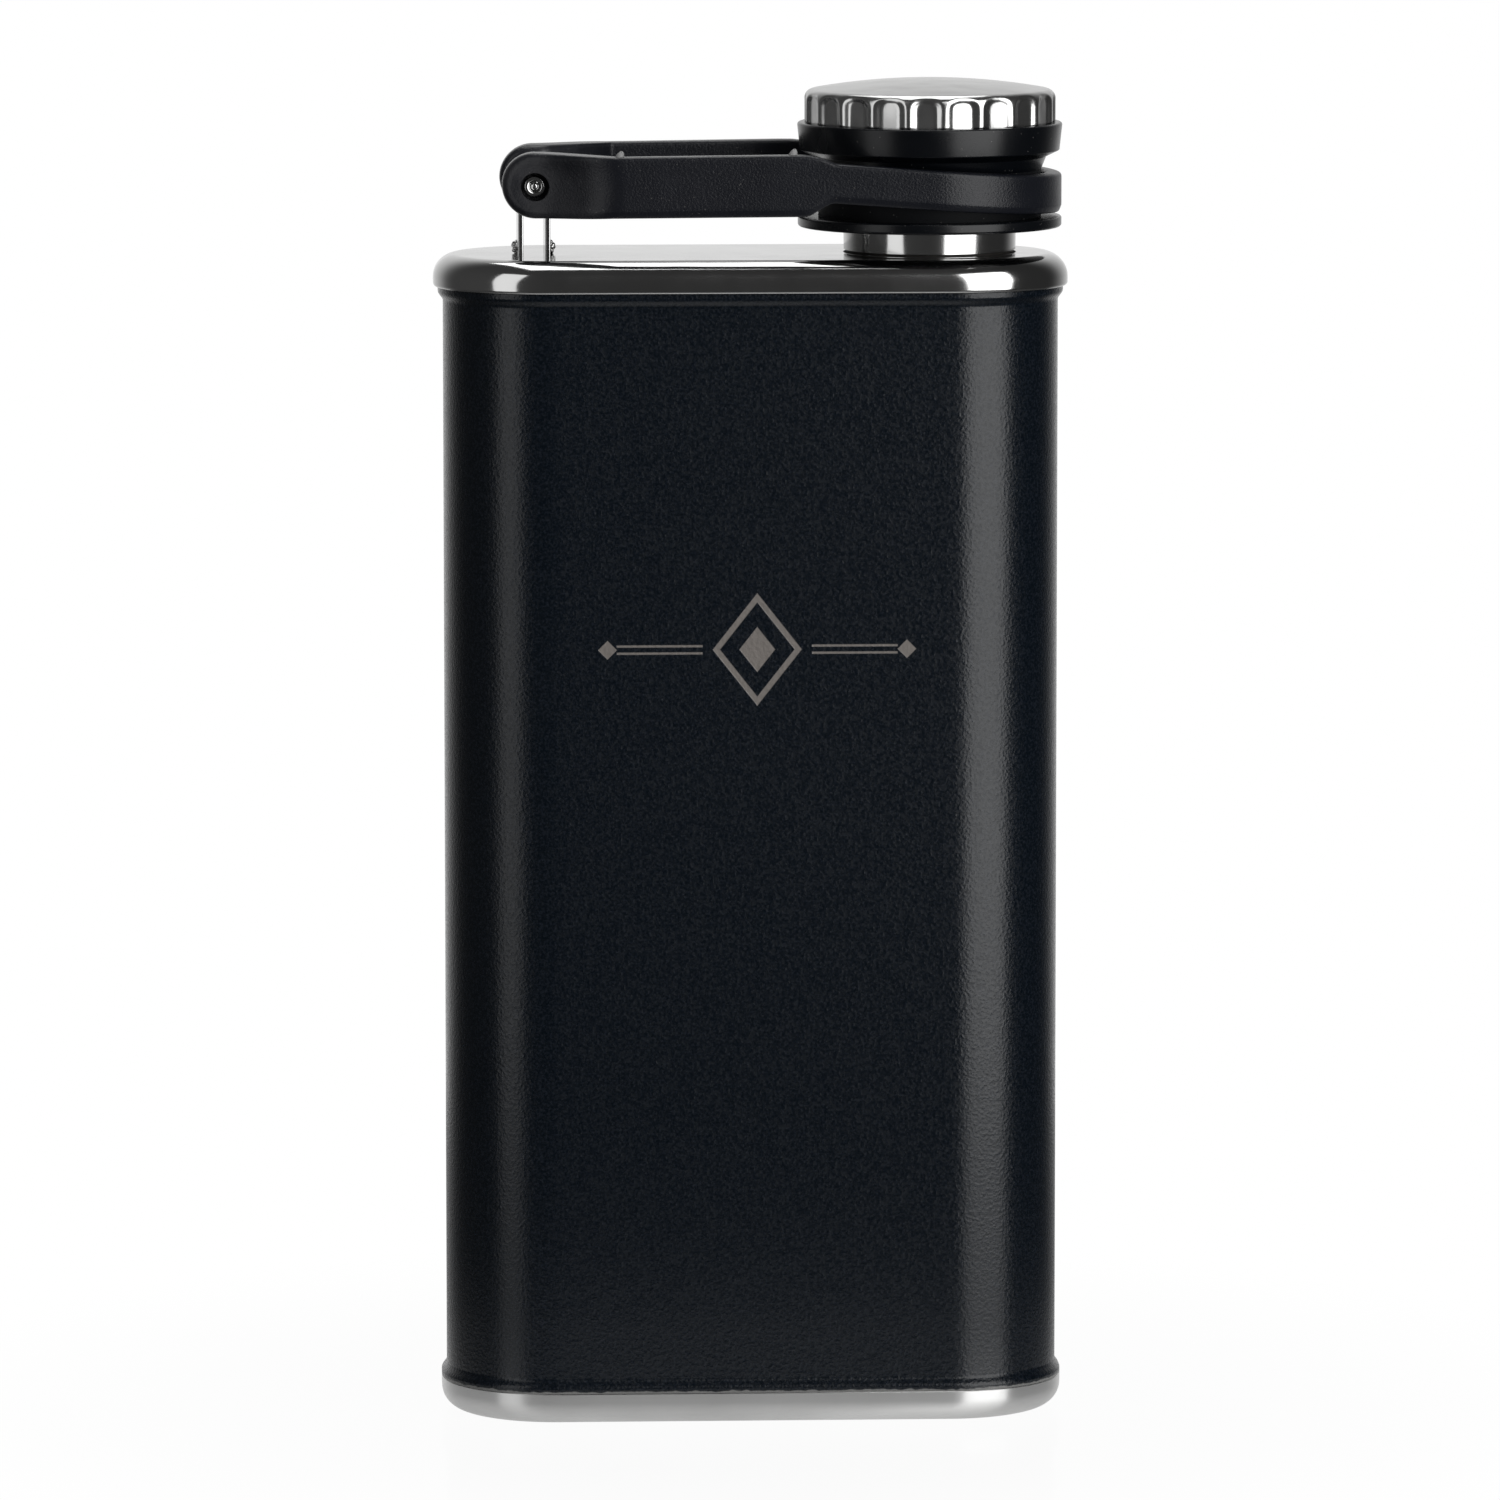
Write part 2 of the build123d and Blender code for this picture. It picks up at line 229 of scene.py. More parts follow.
def powder_coat(pale_edge_level=4.22 * mm, ragged=0.5 * mm):
    """Textured powder coat: near-black blue with a fine pebbled grain. Along its lower edge runs a
    ragged pale line: partly worn coat where it was wiped off the steel, partly a painted
    highlight where the flare's foot catches the light. The etched ornament is bare satin steel,
    a hair below the coat."""
    material, tree, shader, place = finish_of("powder_coat", Specular_IOR_Level=0.42)
    grain, peel = noise(tree, place, 2700, 1), noise(tree, place, 900, 1)
    cloud, fleck = noise(tree, place, 45, 3), noise(tree, place, 3600, 1)
    base = tint(tree, cloud, (0.0004, 0.0028, 0.0062, 1), (0.0014, 0.0036, 0.0066, 1))
    base = tint(tree, ranged(tree, fleck, 0.44, 0.72), base, (0.0085, 0.0120, 0.0185, 1))
    level = put(tree, "SeparateXYZ", {0: place}).outputs["Z"]
    rag = maths(tree, "MULTIPLY_ADD", peel, ragged, level)
    # A ragged pale band at the coat's lower edge: worn coat, and a painted highlight where the
    # flare's foot catches the light.
    worn_edge_and_highlight = ranged(tree, rag, pale_edge_level + 0.12 * mm, pale_edge_level)
    base = tint(tree, worn_edge_and_highlight, base, (0.20, 0.20, 0.195, 1))
    etched = rules_and_lozenges(tree, place)
    base = tint(tree, etched, base, (0.225, 0.205, 0.190, 1))
    rough = maths(tree, "MULTIPLY_ADD", etched, 0.2, ranged(tree, grain, 0.3, 0.7, 0.32, 0.19))
    height = maths(tree, "MULTIPLY_ADD", peel, 0.15, grain)
    height = maths(tree, "MULTIPLY_ADD", etched, -0.8, height)
    wire(tree, shader, Base_Color=base, Roughness=rough, Normal=dented(tree, height, 0.034 * mm),
         Metallic=maths(tree, "MULTIPLY", etched, 0.5))
    return material


body_tube = skin("coated_body_tube", carried(*tube_wall()), True, powder_coat())
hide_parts("body_tube")
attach(body_tube, "flask")

# ---- Base cover -----------------------------------------------------------------------
# A shallow cup pressed from stainless sheet, welded on and satin finished after the coat.
# Its flat underside is what the flask stands on.
base_overhang, base_edge, cover_wall, cup_lip = 0.60 * mm, 2.7 * mm, 1.0 * mm, 0.12 * mm


def base_shape(edge_steps=16):
    """The cup's outline from the middle of the underside, out and up round the edge, over the
    rim and back down inside to the middle of the floor. The flats run in to the spine, the
    line between the middles of the plan's two ends."""
    wall_out, wall_in = base_overhang, base_overhang - cover_wall
    rim_out, rim_in, lip_level = wall_out - cup_lip, wall_in + cup_lip, cover_height - cup_lip
    turn = np.radians(np.linspace(0, 90, edge_steps))
    out_round = wall_out - base_edge * (1 - np.sin(turn)), base_edge * (1 - np.cos(turn))
    inner = base_edge - cover_wall
    in_round = wall_in - inner * (1 - np.sin(turn)), cover_wall + inner * (1 - np.cos(turn))
    offset = np.concatenate([[out_round[0][0]] * 4, out_round[0], [wall_out, rim_out],
                             [rim_in, wall_in], in_round[0][::-1], [in_round[0][0]] * 4])
    level = np.concatenate([[0] * 4, out_round[1], [lip_level, cover_height],
                            [cover_height, lip_level], in_round[1][::-1], [cover_wall] * 4])
    share = np.zeros_like(offset)
    share[:4], share[-4:] = (1, 0.7, 0.35, 0.05), (0.05, 0.35, 0.7, 1)
    points = plan()[0]
    spine_half = half_width - bend_radius
    spine = np.stack([np.clip(points[:, 0], -spine_half, spine_half), 0 * points[:, 0]], axis=1)
    return carried(offset, level, spine, share)


def satin_steel():
    """Steel blasted and lightly brushed along: a soft mirror broken by fine pits and faint
    lines that run round the cover."""
    material, tree, shader, place = finish_of("satin_steel", Metallic=1.0, Anisotropic=0.97,
                                               Anisotropic_Rotation=0.25)
    around = put(tree, "Tangent", direction_type="RADIAL", axis="Z").outputs[0]
    along = put(tree, "Mapping", {"Vector": place, "Scale": (0.08, 0.08, 1.0)}).outputs[0]
    lines, pits = noise(tree, along, 5200, 3), noise(tree, place, 2400, 3, 0.65)
    stain = noise(tree, place, 130, 4)
    tone = tint(tree, stain, (0.62, 0.62, 0.615, 1), (0.74, 0.74, 0.735, 1))
    rough = ranged(tree, pits, 0, 1, 0.34, 0.40)
    bump = dented(tree, maths(tree, "ADD", lines, pits), 0.003 * mm, 0.5)
    wire(tree, shader, Base_Color=tone, Roughness=rough, Normal=bump, Tangent=around)
    return material


base_cover = skin("satin_base_cover", base_shape(), False, satin_steel())
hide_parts("base_cover")
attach(base_cover, "flask")

# ---- Top cover ------------------------------------------------------------------------
# The same pressing with a larger overhang and a rolled lower lip, mirror polished. The neck
# stands in a round hole to the right of its middle.
top_overhang, top_edge, lip_radius = 1.15 * mm, 2.75 * mm, 0.45 * mm
cap_axis, neck_radius = 21.1 * mm, 10.15 * mm


def top_shape(edge_steps=20, roll_steps=8):
    """The lid's outline from the hole's edge, out over the flat, down round the edge and the
    wall, under the rolled lip and back up inside. The flats run in to the circle of the hole,
    each plan point towards the circle's point in the same direction from the neck's axis."""
    wall_out, wall_in = top_overhang, top_overhang - cover_wall
    inner, under = top_edge - cover_wall, top_level - cover_wall
    turn = np.radians(np.linspace(90, 0, edge_steps))
    roll = np.radians(np.linspace(0, -90, roll_steps))
    out_round = wall_out - top_edge * (1 - np.cos(turn)), top_level - top_edge * (1 - np.sin(turn))
    lip = wall_out - lip_radius * (1 - np.cos(roll)), tube_high + lip_radius * (1 + np.sin(roll))
    in_round = wall_in - inner * (1 - np.cos(turn)), under - inner * (1 - np.sin(turn))
    offset = np.concatenate([[out_round[0][0]] * 5, out_round[0], lip[0], [wall_in],
                             in_round[0][::-1], [in_round[0][0]] * 3])
    level = np.concatenate([[top_level] * 5, out_round[1], lip[1], [tube_high],
                            in_round[1][::-1], [under] * 3])
    share = np.zeros_like(offset)
    share[:5], share[-3:] = (1, 0.97, 0.6, 0.25, 0.03), (0.05, 0.5, 1)
    away = plan()[0] - (cap_axis, 0)
    hole = (cap_axis, 0) + neck_radius * away / np.linalg.norm(away, axis=1, keepdims=True)
    return carried(offset, level, hole, share)


def polished_steel(name, waviness, haze=0.0):
    """Mirror-polished pressed steel. The sheet's slight waviness, in mm, bends its reflections.
    Faint wiping marks and hairlines vary the polish, which a haze dulls."""
    material, tree, shader, place = finish_of(name, Metallic=1.0,
                                               Specular_Tint=(0.75, 0.75, 0.75, 1))
    slant = put(tree, "Mapping", {"Vector": place, "Rotation": (0.3, 0.5, 0.7),
                                  "Scale": (1, 0.03, 1)}).outputs[0]
    wave, hair = noise(tree, place, 190, 1), noise(tree, slant, 4200, 2)
    wipe = noise(tree, place, 110, 5, 0.6)
    tone = tint(tree, wipe, (0.60, 0.60, 0.595, 1), (0.67, 0.67, 0.665, 1))
    rough = ranged(tree, wipe, 0.35, 0.75, 0.05 + haze, 0.11 + haze)
    broad = dented(tree, wave, waviness * mm)
    fine = dented(tree, hair, 0.0006 * mm, 0.4, Normal=broad)
    wire(tree, shader, Base_Color=tone, Roughness=rough, Normal=fine)
    return material


mirror_steel = polished_steel("mirror_steel", 0.05, 0.05)
top_cover = skin("polished_top_cover", top_shape(), True, mirror_steel)
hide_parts("top_cover")
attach(top_cover, "flask")

# ---- Neck -----------------------------------------------------------------------------
# A turned steel neck welded into the cover's hole. A groove with the burnt seam runs round
# its foot, and above a plain shoulder a right-handed rolled thread takes the cap.
shank_radius, thread_pitch = 9.75 * mm, 2.9 * mm
seam_from, seam_to = (9.7 * mm, 0.03 * mm), (10.14 * mm, 0.37 * mm)


def turned(profile, columns, centre=(cap_axis, 0)):
    """A closed outline of radius and level turned about the upright axis through the centre."""
    turn = np.linspace(0, 2 * math.pi, columns, endpoint=False)
    radius, level = profile[:, :1], profile[:, 1:]
    return np.dstack([centre[0] + radius * np.cos(turn), centre[1] + radius * np.sin(turn),
                      np.broadcast_to(level, (len(profile), columns))])


def threaded(profile, bare_radius, depth, start, end, columns=192):
    """An outline turned about the cap's axis, set on the cover, with a rolled thread added to
    the points of its bare radius. The crest is the depth times a raised cosine, to the power of
    1.6, of the level measured from a helix that climbs one pitch a turn. It fades in after the
    start and out before the end over half a pitch."""
    turn = np.linspace(0, 2 * math.pi, columns, endpoint=False)
    radius, level = profile[:, :1], profile[:, 1:]
    wave = 0.5 + 0.5 * np.cos(2 * math.pi * level / thread_pitch - turn)
    half = 0.5 * thread_pitch
    fade = np.clip((level - start) / half, 0, 1) * np.clip((end - level) / half, 0, 1)
    crest = depth * wave ** 1.6 * fade * (np.abs(radius - bare_radius) < 1e-9)
    grid = turned(profile, columns)
    grid[..., 0] += crest * np.cos(turn)
    grid[..., 1] += crest * np.sin(turn)
    return grid + (0, 0, top_level)


def neck_shape(shank_steps=70):
    """The neck's outline, in mm of radius and of level above the cover: up the outside from its
    flange under the cover, over the lip, and down the bore."""
    foot = np.array([(8.7, -1.8), (11.6, -1.8), (11.6, -1.05), (10.15, -1.05), (10.15, 0.02),
                     (9.75, 0.06), (9.75, 0.30), (10.11, 0.38), (10.15, 3.25), (10.0, 3.4)]) * mm
    shank = np.stack([np.full(shank_steps, shank_radius),
                      np.linspace(3.55 * mm, 12.0 * mm, shank_steps)], axis=1)
    lip = np.array([(9.55, 12.3), (9.3, 12.4), (8.9, 12.4), (8.74, 12.3), (8.7, 12.1)]) * mm
    profile = np.concatenate([foot, shank, lip])
    return threaded(profile, shank_radius, depth=0.38 * mm, start=4.3 * mm, end=11.6 * mm)


def finish_some(piece, material, highest, lowest=(-1, -1)):
    """Gives another material to the faces whose middles lie between two limits, each a pair of
    a distance from the cap's axis and a level above the cover."""
    faces = piece.data.polygons
    middle = np.empty(3 * len(faces))
    faces.foreach_get("center", middle)
    x, y, z = middle.reshape(-1, 3).T
    at = np.stack([np.hypot(x - cap_axis, y), z - top_level], axis=1)
    piece.data.materials.append(material)
    chosen = np.all((at > lowest) & (at < highest), axis=1)
    faces.foreach_set("material_index", chosen.astype(np.int32))


def burnt_seam():
    """The thin dark line of the weld between neck and cover: scale and polishing dirt."""
    material, tree, shader, place = finish_of("burnt_seam", Metallic=0.4)
    soot = noise(tree, place, 900, 3)
    tone = tint(tree, soot, (0.004, 0.004, 0.004, 1), (0.05, 0.045, 0.04, 1))
    wire(tree, shader, Base_Color=tone, Roughness=ranged(tree, soot, 0, 1, 0.55, 0.75))
    return material


neck = skin("threaded_neck", neck_shape(), True, mirror_steel)
finish_some(neck, burnt_seam(), seam_to, seam_from)
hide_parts("neck")
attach(neck, "flask")

# ---- Hinge knuckle --------------------------------------------------------------------
# One strip of stainless sheet folded over the hinge pin. It stands on two legs and is
# polished with the cover.
pivot, pivot_level = -25.5 * mm, top_level + 8.4 * mm
knuckle_bore, knuckle_sheet, knuckle_half, knuckle_edge = 1.28 * mm, 0.6 * mm, 5.0 * mm, 0.12 * mm


def rounded(corners, radii, steps=8):
    """A closed outline through the corners, each rounded off by an arc of its radius: the
    arc's centre lies on the corner's bisector, the radius over the sine of half the corner
    away, and it is swept between the feet of its perpendiculars on both sides."""
    corners = np.asarray(corners, float)
    before = np.roll(corners, 1, axis=0) - corners
    after = np.roll(corners, -1, axis=0) - corners
    line = []
    for at, back, on, radius in zip(corners, before, after, radii):
        back = back / np.linalg.norm(back)
        on = on / np.linalg.norm(on)
        half = 0.5 * math.acos(np.clip(back @ on, -1, 1))
        straight_on = abs(half - math.pi / 2) < 1e-6
        if radius == 0 or straight_on:
            line.append(at[None])
            continue
        reach = radius / math.tan(half)
        middle = at + (back + on) / np.linalg.norm(back + on) * radius / math.sin(half)
        start, end = at + back * reach - middle, at + on * reach - middle
        sweep = math.pi - 2 * half
        share = np.linspace(0, 1, steps)[:, None]
        swept = np.sin((1 - share) * sweep) * start + np.sin(share * sweep) * end
        line.append(middle + swept / math.sin(sweep))
    return np.concatenate(line)


def strip(leg_steps=10, arc_steps=40):
    """The strip's section, a rectangle with rounded corners across the hinge, carried up one
    leg, over the half circle and down the other leg. The first and last sections shrink to a
    point and so close the feet."""
    corners = np.array([(0, -1), (1, -1), (1, 1), (0, 1)]) * (knuckle_sheet, knuckle_half)
    section = rounded(corners, [knuckle_edge] * 4, 5)
    turn = np.linspace(0, math.pi, arc_steps)
    up = np.linspace(top_level, pivot_level, leg_steps)
    along = np.concatenate([np.full(leg_steps, -1.0), -np.cos(turn), np.full(leg_steps, 1.0)])
    rise = np.concatenate([np.zeros(leg_steps), np.sin(turn), np.zeros(leg_steps)])
    level = np.concatenate([up, np.full(arc_steps, pivot_level), up[::-1]])
    reach = knuckle_bore + section[None, :, 0]
    across = np.broadcast_to(section[:, 1], (len(level), len(section)))
    grid = np.dstack([pivot + along[:, None] * reach, across,
                      level[:, None] + rise[:, None] * reach])
    feet = grid[[0, -1]].mean(axis=1, keepdims=True) + 0 * grid[:1]
    return np.concatenate([feet[:1], grid, feet[1:]])


knuckle = skin("hinge_knuckle", strip(), False, mirror_steel)
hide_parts("hinge_bracket")
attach(knuckle, "flask")

# ---- Welds at the knuckle's feet ------------------------------------------------------
# A short lumpy bead of stainless weld metal up the outside of each leg, which fixes the
# knuckle to the cover. It is left as it ran.
bead_out, bead_in, bead_half, bead_rise = 0.66 * mm, 0.25 * mm, 1.35 * mm, 0.8 * mm
bead_sunk = 0.04 * mm
weld_steel = polished_steel("weld_steel", 0.3)


def bead(side, rows=40, columns=56):
    """Half an egg against the leg: an ellipsoid that reaches out from the leg and only a little
    into it, its radius swelling and shrinking by waves of the two angles."""
    rise = np.linspace(-math.pi / 2, math.pi / 2, rows)[:, None]
    turn = np.linspace(0, 2 * math.pi, columns, endpoint=False)[None]
    waves = 0.13 * np.sin(3 * turn + 5 * rise + side) + 0.08 * np.sin(7 * turn - 4 * rise)
    lump = 1 + waves * np.cos(rise)
    out = lump * np.cos(rise) * np.cos(turn)
    leg = knuckle_bore + knuckle_sheet
    x = pivot + side * (leg + np.where(out > 0, bead_out, bead_in) * out)
    y = bead_half * lump * np.cos(rise) * np.sin(turn)
    z = np.clip(bead_rise * (1 + lump * np.sin(rise)), 0, None)
    return np.dstack([x, y, top_level - bead_sunk + z])


for side, name in ((-1, "left_weld"), (1, "right_weld")):
    weld = skin(name, bead(side), False, weld_steel, sharp=0)
    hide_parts("bracket_welds")
    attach(weld, "flask")

# ---- Retaining arm --------------------------------------------------------------------
# One moulding of black glass-filled nylon: two straps with round heads on the hinge pin,
# joined by the ring that holds the cap. Its skin is finely textured, with a bevel along the
# lower outer edge.
head_radius, head_level = 3.82 * mm, pivot_level + 0.12 * mm
ring_outer, ring_inner, band_half = 15.5 * mm, 13.6 * mm, 2.3 * mm
shoulder_end = pivot + 9.0 * mm
step_start, step_end = cap_axis - 15.3 * mm, cap_axis - 11.9 * mm
arm_edge, arm_bevel, fuller_rounding = 0.45 * mm, 0.85 * mm, 1.3


def black_nylon(name, tone, roughness, grain_depth, gloss=0.5, head_sheen=0.0):
    """Moulded black nylon: satin by its roughness and gloss, with a spark-eroded grain of that
    depth in mm and a few pale specks of dust. It can be painted paler in patches towards the
    hinge, a painted sheen on the head and shoulder."""
    material, tree, shader, place = finish_of(name, Specular_IOR_Level=gloss)
    grain, flow = noise(tree, place, 4000, 2, 0.55), noise(tree, place, 220, 3)
    dust = put(tree, "TexVoronoi", {"Vector": place, "Scale": 1100.0}).outputs["Distance"]
    speck = maths(tree, "MULTIPLY", ranged(tree, dust, 0.10, 0.04), 0.7)
    along = put(tree, "SeparateXYZ", {0: place}).outputs["X"]
    # Paler patches painted in towards the hinge: a painted sheen on the head and shoulder.
    head_sheen_reach = ranged(tree, along, pivot + 9 * mm, pivot - 2 * mm, 0, head_sheen)
    sheen_patches = maths(tree, "MULTIPLY", head_sheen_reach, ranged(tree, flow, 0.35, 0.65))
    base = tint(tree, flow, (*tone, 1), (*(1.35 * share for share in tone), 1))
    base = tint(tree, sheen_patches, base, (0.045, 0.045, 0.050, 1))
    base = tint(tree, speck, base, (0.12, 0.115, 0.11, 1))
    rough = ranged(tree, flow, 0, 1, roughness - 0.05, roughness + 0.06)
    wire(tree, shader, Base_Color=base, Roughness=rough,
         Normal=dented(tree, grain, grain_depth * mm, 0.7))
    return material


def strap_face(x, places, slopes, ring_half):
    """Half width over a face of the straps, by place along. Its slope runs straight between
    the given places, which are in mm from the pivot, and the slope is added up from the ring's
    half width back to the head."""
    along = np.linspace(-4 * mm, cap_axis - pivot, 900)
    slope = np.interp(along, np.array(places) * mm, slopes)
    step = 0.5 * (slope[1:] + slope[:-1]) * np.diff(along)
    half = ring_half - np.append(np.cumsum(step[::-1])[::-1], 0)
    return np.interp(x - pivot, along, half)


def outer_face(x, bow=0.0):
    """The outer face: turned out a little on the head, more over the shoulder, and nearly flat
    on the strap. It turns sooner towards the upper and lower edges, where the bow is 1."""
    sooner = 0.9 * mm * bow
    return strap_face(x + sooner, [-3.8, 0, 2.8, 5.6, 10.6], [0.20, 0.40, 0.74, 0.74, 0.0135],
                      ring_outer)


def inner_face(x):
    """The inner face: flat beside the knuckle, then out to the strap in a straight slope that
    ends in a crease."""
    return strap_face(x, [0.8, 2.4, 9.6, 9.62], [0, 0.9, 0.9, 0.0297], ring_inner)


def ring_level(x):
    """Middle of the ring's band, which falls to the right."""
    return top_level + 8.2 * mm - 0.072 * (x - cap_axis)


def eased(share):
    """A smooth step from 0 to 1: three squares of the share less two of its cubes."""
    share = np.clip(share, 0, 1)
    return share * share * (3 - 2 * share)


def strap_edge(x, head, shoulder, end):
    """An edge of the strap: straight from the head's level at the pivot to one at the end of
    the shoulder, and on to one where the step starts. The last two are above the cover."""
    levels = [head, top_level + shoulder, top_level + end]
    return np.interp(x, [pivot, shoulder_end, step_start], levels)


def arm_low(x):
    """Lower edge: straight down the strap, up the short step, then along the ring's band."""
    strap = strap_edge(x, head_level - head_radius, shoulder=5.05 * mm, end=5.2 * mm)
    step = (x - step_start) / (step_end - step_start)
    band = ring_level(x) - band_half
    stepped = strap + (band - strap) * eased(step * 0.9 + 0.05)
    return np.where(step <= 0, strap, np.where(step >= 1, band, stepped))


def arm_high(x):
    """Upper edge: up the strap, then a drop with the square of the way along it, which meets
    the ring's band in a corner."""
    strap = strap_edge(x, head_level + head_radius, shoulder=12.15 * mm, end=12.40 * mm)
    drop = (x - step_start + 1.2 * mm) / (step_end - step_start + 1.3 * mm)
    return strap + (ring_level(x) + band_half - strap) * np.clip(drop, 0, 1) ** 2


def arm_section(arc_steps=6, face_steps=14, top_steps=6):
    """Once round the arm's section. Gives for each point its share across from the inner face,
    its share up from the lower edge, and how far the rounding sinks it from the face and sets
    it in from the edge; and the last two again with the bevel on the lower outer corner."""
    turn = np.linspace(0, math.pi / 2, arc_steps)
    sunk, rest = arm_edge * (1 - np.cos(turn)), arm_edge * (1 - np.sin(turn))
    face = np.linspace(0, 1, face_steps)[1:-1]
    over = np.linspace(0, 1, top_steps)[1:-1]
    flat, side = np.full_like(over, arm_edge), np.full_like(face, arm_edge)
    across = np.concatenate([np.ones(arc_steps), 1 - over, np.zeros(2 * arc_steps + len(face)),
                             over, np.ones(arc_steps + len(face))])
    up = np.concatenate([np.ones(arc_steps + len(over) + arc_steps), 1 - face,
                         np.zeros(2 * arc_steps + len(over)), face])
    sink = np.concatenate([sunk, flat, sunk[::-1], 0 * side] * 2)
    inset = np.concatenate([rest, 0 * flat, rest[::-1], side] * 2)
    lower = slice(len(up) - len(face) - arc_steps, len(up) - len(face))
    past = np.linspace(1, 0, arc_steps)
    bevel_sink, bevel_inset = sink.copy(), inset.copy()
    bevel_sink[lower] = np.interp(past, [0, 0.25, 0.75, 1], [0, 0.02, 0.27, 0.42]) * mm
    bevel_inset[lower] = np.interp(past, [0, 0.25, 0.75, 1], [0.85, 0.76, 0.10, 0]) * mm
    rise = up[lower.stop:]
    bevel_inset[lower.stop:] = arm_bevel * (1 - rise) + arm_edge * rise
    return across, up, sink, inset, bevel_sink, bevel_inset


def arm_shape(head_steps=21, ring_steps=49):
    """The section carried from the front head along the strap and half round the ring, then
    mirrored for the rear. Round the head the section's points turn with the head's circle, so
    its first section closes on itself. The bow of the outer face is the square of the height
    from the head's middle, so that the shoulder is a hollow beside the head. The head's
    edges are rounded more than twice as far as the strap's. Sections lie closer together where
    the faces or edges turn."""
    across, up, sink, inset, bevel_sink, bevel_inset = arm_section()
    head_turn = np.linspace(0, math.pi / 2, head_steps + 1)[:-1, None]
    along = np.concatenate([np.linspace(pivot, pivot + 10 * mm, 44),
                            np.linspace(-15, 5.5, 14) * mm, np.linspace(5.8, 9.2, 26) * mm,
                            np.linspace(9.7, 21.1, 12) * mm])
    ring_turn = np.linspace(0, math.pi / 2, ring_steps + 1)[1:, None]

    def eased_from_head(on_head, reach, on_ring):
        """One value on the head and one on the ring, with a smooth step over the reach."""
        on_strap = on_head + (on_ring - on_head) * eased((along - pivot) / reach)
        return np.concatenate([np.full(head_steps, on_head), on_strap,
                               np.full(ring_steps, on_ring)])[:, None]

    bevel = eased_from_head(0.0, 9 * mm, 1.0)
    rounding = 1 + eased_from_head(fuller_rounding, 8 * mm, 0.0)
    sink = rounding * (sink + bevel * (bevel_sink - sink))
    inset = rounding * (inset + bevel * (bevel_inset - inset))
    head, strap = slice(0, head_steps), slice(head_steps, head_steps + len(along))
    ring = slice(strap.stop, None)

    x = np.empty_like(sink)
    x[head] = pivot - (head_radius - inset[head]) * np.cos(head_turn)
    x[strap] = along[:, None]
    reach = ring_inner + sink[ring] + (ring_outer - ring_inner - 2 * sink[ring]) * across
    x[ring] = cap_axis + reach * np.sin(ring_turn)
    low, high = arm_low(x) + inset, arm_high(x) - inset
    z = low + (high - low) * up
    z[head] = head_level + (2 * up - 1) * (head_radius - inset[head]) * np.sin(head_turn)
    bow = np.clip((z - head_level) / head_radius, -1, 1) ** 2
    inner, outer = inner_face(x), outer_face(x, bow)
    y = inner + sink + (outer - inner - 2 * sink) * across
    y[ring] = reach * np.cos(ring_turn)
    front = np.dstack([x, -y, z])
    rear = (front * (1, -1, 1))[::-1]
    return np.concatenate([front, rear[1:]])


def spindle(profile, name, material):
    """An outline of radius and place across the flask turned about the hinge pin's axis."""
    grid = turned(profile, 72, centre=(0, 0))
    grid = np.dstack([pivot + grid[..., 0], grid[..., 2], pivot_level + grid[..., 1]])
    return skin(name, grid, False, material)


def counterbored(arm, material):
    """Cuts the pin's bore through both heads, and a wider counterbore in from each outside to
    its floor. The radii and places are in mm."""
    bore, counterbore, floor, clear = 1.22, 1.65, 7.4, 12
    half = np.array([(bore, floor), (counterbore, floor), (counterbore, clear), (0, clear)]) * mm
    drill = spindle(np.concatenate([half[::-1] * (1, -1), half]), "counterbore_drill", material)
    cut = arm.modifiers.new("bore", "BOOLEAN")
    cut.object, cut.operation, cut.solver = drill, "DIFFERENCE", "EXACT"
    shown = arm.evaluated_get(bpy.context.evaluated_depsgraph_get())
    bored = bpy.data.meshes.new_from_object(shown)
    arm.modifiers.clear()
    arm.data = bored
    bored.set_sharp_from_angle(angle=math.radians(50))
    bpy.data.objects.remove(drill)


# The last value is how strong the painted sheen towards the hinge is.
arm_nylon = black_nylon("arm_nylon", (0.0048, 0.0056, 0.0088), 0.34, 0.065, 0.38, 0.7)
retaining_arm = skin("retaining_arm_moulding", arm_shape(), False, arm_nylon, sharp=50)
counterbored(retaining_arm, arm_nylon)
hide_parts("retaining_arm")
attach(retaining_arm, "arm")

# ---- Nibs on the front strap ----------------------------------------------------------
# Two stubs of the moulding's gates, of the arm's own nylon. They are broken off on the
# strap's upper edge and whitened there.
nib_half_along, nib_half_across, nib_rise, nib_inset = 0.5 * mm, 0.4 * mm, 0.65 * mm, 0.8 * mm
gate_nylon = black_nylon("broken_nylon", (0.22, 0.22, 0.22), 0.5, 0.03)


def nib(along, columns=24, rows=14):
    """A low dome, leaning a little to the right: an ellipsoid, half sunk in the edge, whose
    height waves twice round it."""
    turn = np.linspace(0, 2 * math.pi, columns, endpoint=False)[None]
    rise = np.linspace(-math.pi / 2, math.pi / 2, rows)[:, None]
    height = nib_rise * np.sin(rise) * (1 + 0.15 * np.sin(2 * turn))
    x = along + nib_half_along * np.cos(rise) * np.cos(turn) + 0.3 * height
    y = nib_inset - outer_face(along) + nib_half_across * np.cos(rise) * np.sin(turn)
    return np.dstack([x, y, arm_high(along) + height])


for along, name in ((-15.8 * mm, "left_nib"), (4.3 * mm, "right_nib")):
    stub = skin(name, nib(along), False, gate_nylon, sharp=0)
    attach(stub, "arm")

